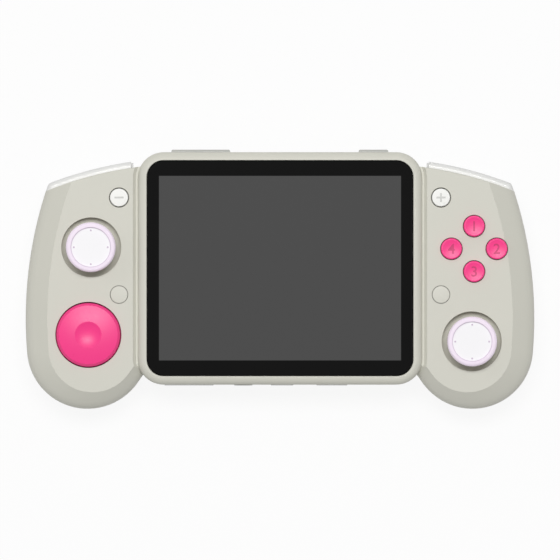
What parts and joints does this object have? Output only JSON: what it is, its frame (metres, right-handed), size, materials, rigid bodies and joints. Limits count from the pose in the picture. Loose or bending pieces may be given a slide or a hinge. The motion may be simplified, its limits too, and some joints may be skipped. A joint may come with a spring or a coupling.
{
  "type": "handheld game console",
  "caption": "Handheld game console with a nearly square screen between two grips with thumb sticks, a round direction disc, four face buttons, small keys and shoulder keys that move",
  "frame": {"origin": "middle of the base rectangle of the whole object, in the plane that the back lies on", "axes": "+Z out of the screen, +Y to the shoulder keys, +X to the right grip as the player sees it"},
  "size_m": [0.148, 0.0753, 0.0276],
  "materials": {
    "shell": "fine matt texture",
    "glass": "polished",
    "black_foam": "matt",
    "display": "smooth",
    "steel": "rolled sheet",
    "board": "solder mask",
    "battery_wrap": "foil",
    "black_plastic": "matt",
    "ribbon": "film",
    "stem_plastic": "satin",
    "cap_rubber": "soft matt",
    "pink_plastic": "satin",
    "white_plastic": "satin",
    "mat_rubber": "matt",
    "bumper_plastic": "satin",
    "key_plastic": "satin"
  },
  "bodies": {
    "case": {"front_shell": "shell", "rear_shell": "shell", "screen_glass": "glass", "glass_adhesive": "black_foam", "lcd_panel": "display", "lcd_bracket": "steel", "main_board": "board", "chip_shield": "steel", "battery": "battery_wrap", "usb_c_port": "steel", "video_port": "steel", "headphone_jack": "black_plastic", "card_slot": "steel", "screen_flex": "ribbon", "wing_flexes": "ribbon", "left_control_board": "board", "right_control_board": "board", "left_speaker": "black_plastic", "right_speaker": "black_plastic", "left_stick_can": "steel", "right_stick_can": "steel", "dpad_pivot_bracket": "black_plastic", "left_mat": "mat_rubber", "right_mat": "mat_rubber", "shoulder_pins": "steel", "shoulder_boards": "board", "top_key_board": "board", "case_screws": "steel", "board_screws": "steel"},
    "left_stick_click": {"left_stick_cradle": "black_plastic"},
    "left_stick_pitch": {"left_stick_yoke": "black_plastic"},
    "left_stick": {"left_stick_stem": "stem_plastic", "left_stick_cap": "cap_rubber"},
    "right_stick_click": {"right_stick_cradle": "black_plastic"},
    "right_stick_pitch": {"right_stick_yoke": "black_plastic"},
    "right_stick": {"right_stick_stem": "stem_plastic", "right_stick_cap": "cap_rubber"},
    "dpad_spider_body": {"dpad_spider": "steel"},
    "dpad": {"dpad_disc": "pink_plastic"},
    "north_key": {"north_button": "pink_plastic"},
    "east_key": {"east_button": "pink_plastic"},
    "south_key": {"south_button": "pink_plastic"},
    "west_key": {"west_button": "pink_plastic"},
    "select": {"select_key": "white_plastic"},
    "start": {"start_key": "white_plastic"},
    "left_function": {"left_function_key": "shell"},
    "right_function": {"right_function_key": "shell"},
    "left_shoulder": {"left_bumper": "bumper_plastic"},
    "right_shoulder": {"right_bumper": "bumper_plastic"},
    "left_trigger_body": {"left_trigger": "bumper_plastic"},
    "right_trigger_body": {"right_trigger": "bumper_plastic"},
    "volume": {"volume_rocker": "key_plastic"},
    "power": {"power_key": "key_plastic"}
  },
  "joints": [
    {"name": "left_stick_press", "type": "slide", "parent": "case", "child": "left_stick_click", "axis": [0, 0, -1], "range_m": [0, 0.0003], "stiffness_N_per_m": 2000},
    {"name": "left_stick_up_down", "type": "hinge", "parent": "left_stick_click", "child": "left_stick_pitch", "pos_m": [-0.05475, 0.00932, 0.0135], "axis": [1, 0, 0], "range_deg": [-14, 14], "stiffness_Nm_per_rad": 0.02},
    {"name": "left_stick_left_right", "type": "hinge", "parent": "left_stick_pitch", "child": "left_stick", "pos_m": [-0.05475, 0.00932, 0.0135], "axis": [0, 1, 0], "range_deg": [-14, 14], "stiffness_Nm_per_rad": 0.02},
    {"name": "right_stick_press", "type": "slide", "parent": "case", "child": "right_stick_click", "axis": [0, 0, -1], "range_m": [0, 0.0003], "stiffness_N_per_m": 2000},
    {"name": "right_stick_up_down", "type": "hinge", "parent": "right_stick_click", "child": "right_stick_pitch", "pos_m": [0.0556, -0.01797, 0.0135], "axis": [1, 0, 0], "range_deg": [-14, 14], "stiffness_Nm_per_rad": 0.02},
    {"name": "right_stick_left_right", "type": "hinge", "parent": "right_stick_pitch", "child": "right_stick", "pos_m": [0.0556, -0.01797, 0.0135], "axis": [0, 1, 0], "range_deg": [-14, 14], "stiffness_Nm_per_rad": 0.02},
    {"name": "dpad_up_down", "type": "hinge", "parent": "case", "child": "dpad_spider_body", "pos_m": [-0.0556, -0.01608, 0.0175], "axis": [1, 0, 0], "range_deg": [-3.5, 3.5], "stiffness_Nm_per_rad": 0.1, "deforming": ["left_mat"]},
    {"name": "dpad_left_right", "type": "hinge", "parent": "dpad_spider_body", "child": "dpad", "pos_m": [-0.0556, -0.01608, 0.0175], "axis": [0, 1, 0], "range_deg": [-3.5, 3.5], "stiffness_Nm_per_rad": 0.1, "deforming": ["left_mat"]},
    {"name": "north_button_press", "type": "slide", "parent": "case", "child": "north_key", "axis": [0, 0, -1], "range_m": [0, 0.0012], "stiffness_N_per_m": 800, "deforming": ["right_mat"]},
    {"name": "east_button_press", "type": "slide", "parent": "case", "child": "east_key", "axis": [0, 0, -1], "range_m": [0, 0.0012], "stiffness_N_per_m": 800, "deforming": ["right_mat"]},
    {"name": "south_button_press", "type": "slide", "parent": "case", "child": "south_key", "axis": [0, 0, -1], "range_m": [0, 0.0012], "stiffness_N_per_m": 800, "deforming": ["right_mat"]},
    {"name": "west_button_press", "type": "slide", "parent": "case", "child": "west_key", "axis": [0, 0, -1], "range_m": [0, 0.0012], "stiffness_N_per_m": 800, "deforming": ["right_mat"]},
    {"name": "select_press", "type": "slide", "parent": "case", "child": "select", "axis": [0, 0, -1], "range_m": [0, 0.0003], "stiffness_N_per_m": 2000},
    {"name": "start_press", "type": "slide", "parent": "case", "child": "start", "axis": [0, 0, -1], "range_m": [0, 0.0003], "stiffness_N_per_m": 2000},
    {"name": "left_function_press", "type": "slide", "parent": "case", "child": "left_function", "axis": [0, 0, -1], "range_m": [0, 0.0003], "stiffness_N_per_m": 2000},
    {"name": "right_function_press", "type": "slide", "parent": "case", "child": "right_function", "axis": [0, 0, -1], "range_m": [0, 0.0003], "stiffness_N_per_m": 2000},
    {"name": "left_bumper_press", "type": "hinge", "parent": "case", "child": "left_shoulder", "pos_m": [-0.0446, 0.0286, 0.013], "axis": [0, 0, 1], "range_deg": [0, 3], "stiffness_Nm_per_rad": 0.5},
    {"name": "left_trigger_pull", "type": "hinge", "parent": "case", "child": "left_trigger_body", "pos_m": [-0.0446, 0.0286, 0.0078], "axis": [0, 0, 1], "range_deg": [0, 4.5], "stiffness_Nm_per_rad": 0.5},
    {"name": "right_bumper_press", "type": "hinge", "parent": "case", "child": "right_shoulder", "pos_m": [0.0446, 0.0286, 0.013], "axis": [0, 0, -1], "range_deg": [0, 3], "stiffness_Nm_per_rad": 0.5},
    {"name": "right_trigger_pull", "type": "hinge", "parent": "case", "child": "right_trigger_body", "pos_m": [0.0446, 0.0286, 0.0078], "axis": [0, 0, -1], "range_deg": [0, 4.5], "stiffness_Nm_per_rad": 0.5},
    {"name": "volume_rock", "type": "hinge", "parent": "case", "child": "volume", "pos_m": [-0.02305, 0.0343, 0.0146], "axis": [0, 0, 1], "range_deg": [-2.5, 2.5], "stiffness_Nm_per_rad": 0.2},
    {"name": "power_press", "type": "slide", "parent": "case", "child": "power", "axis": [0, -1, 0], "range_m": [0, 0.0004], "stiffness_N_per_m": 2000}
  ]
}
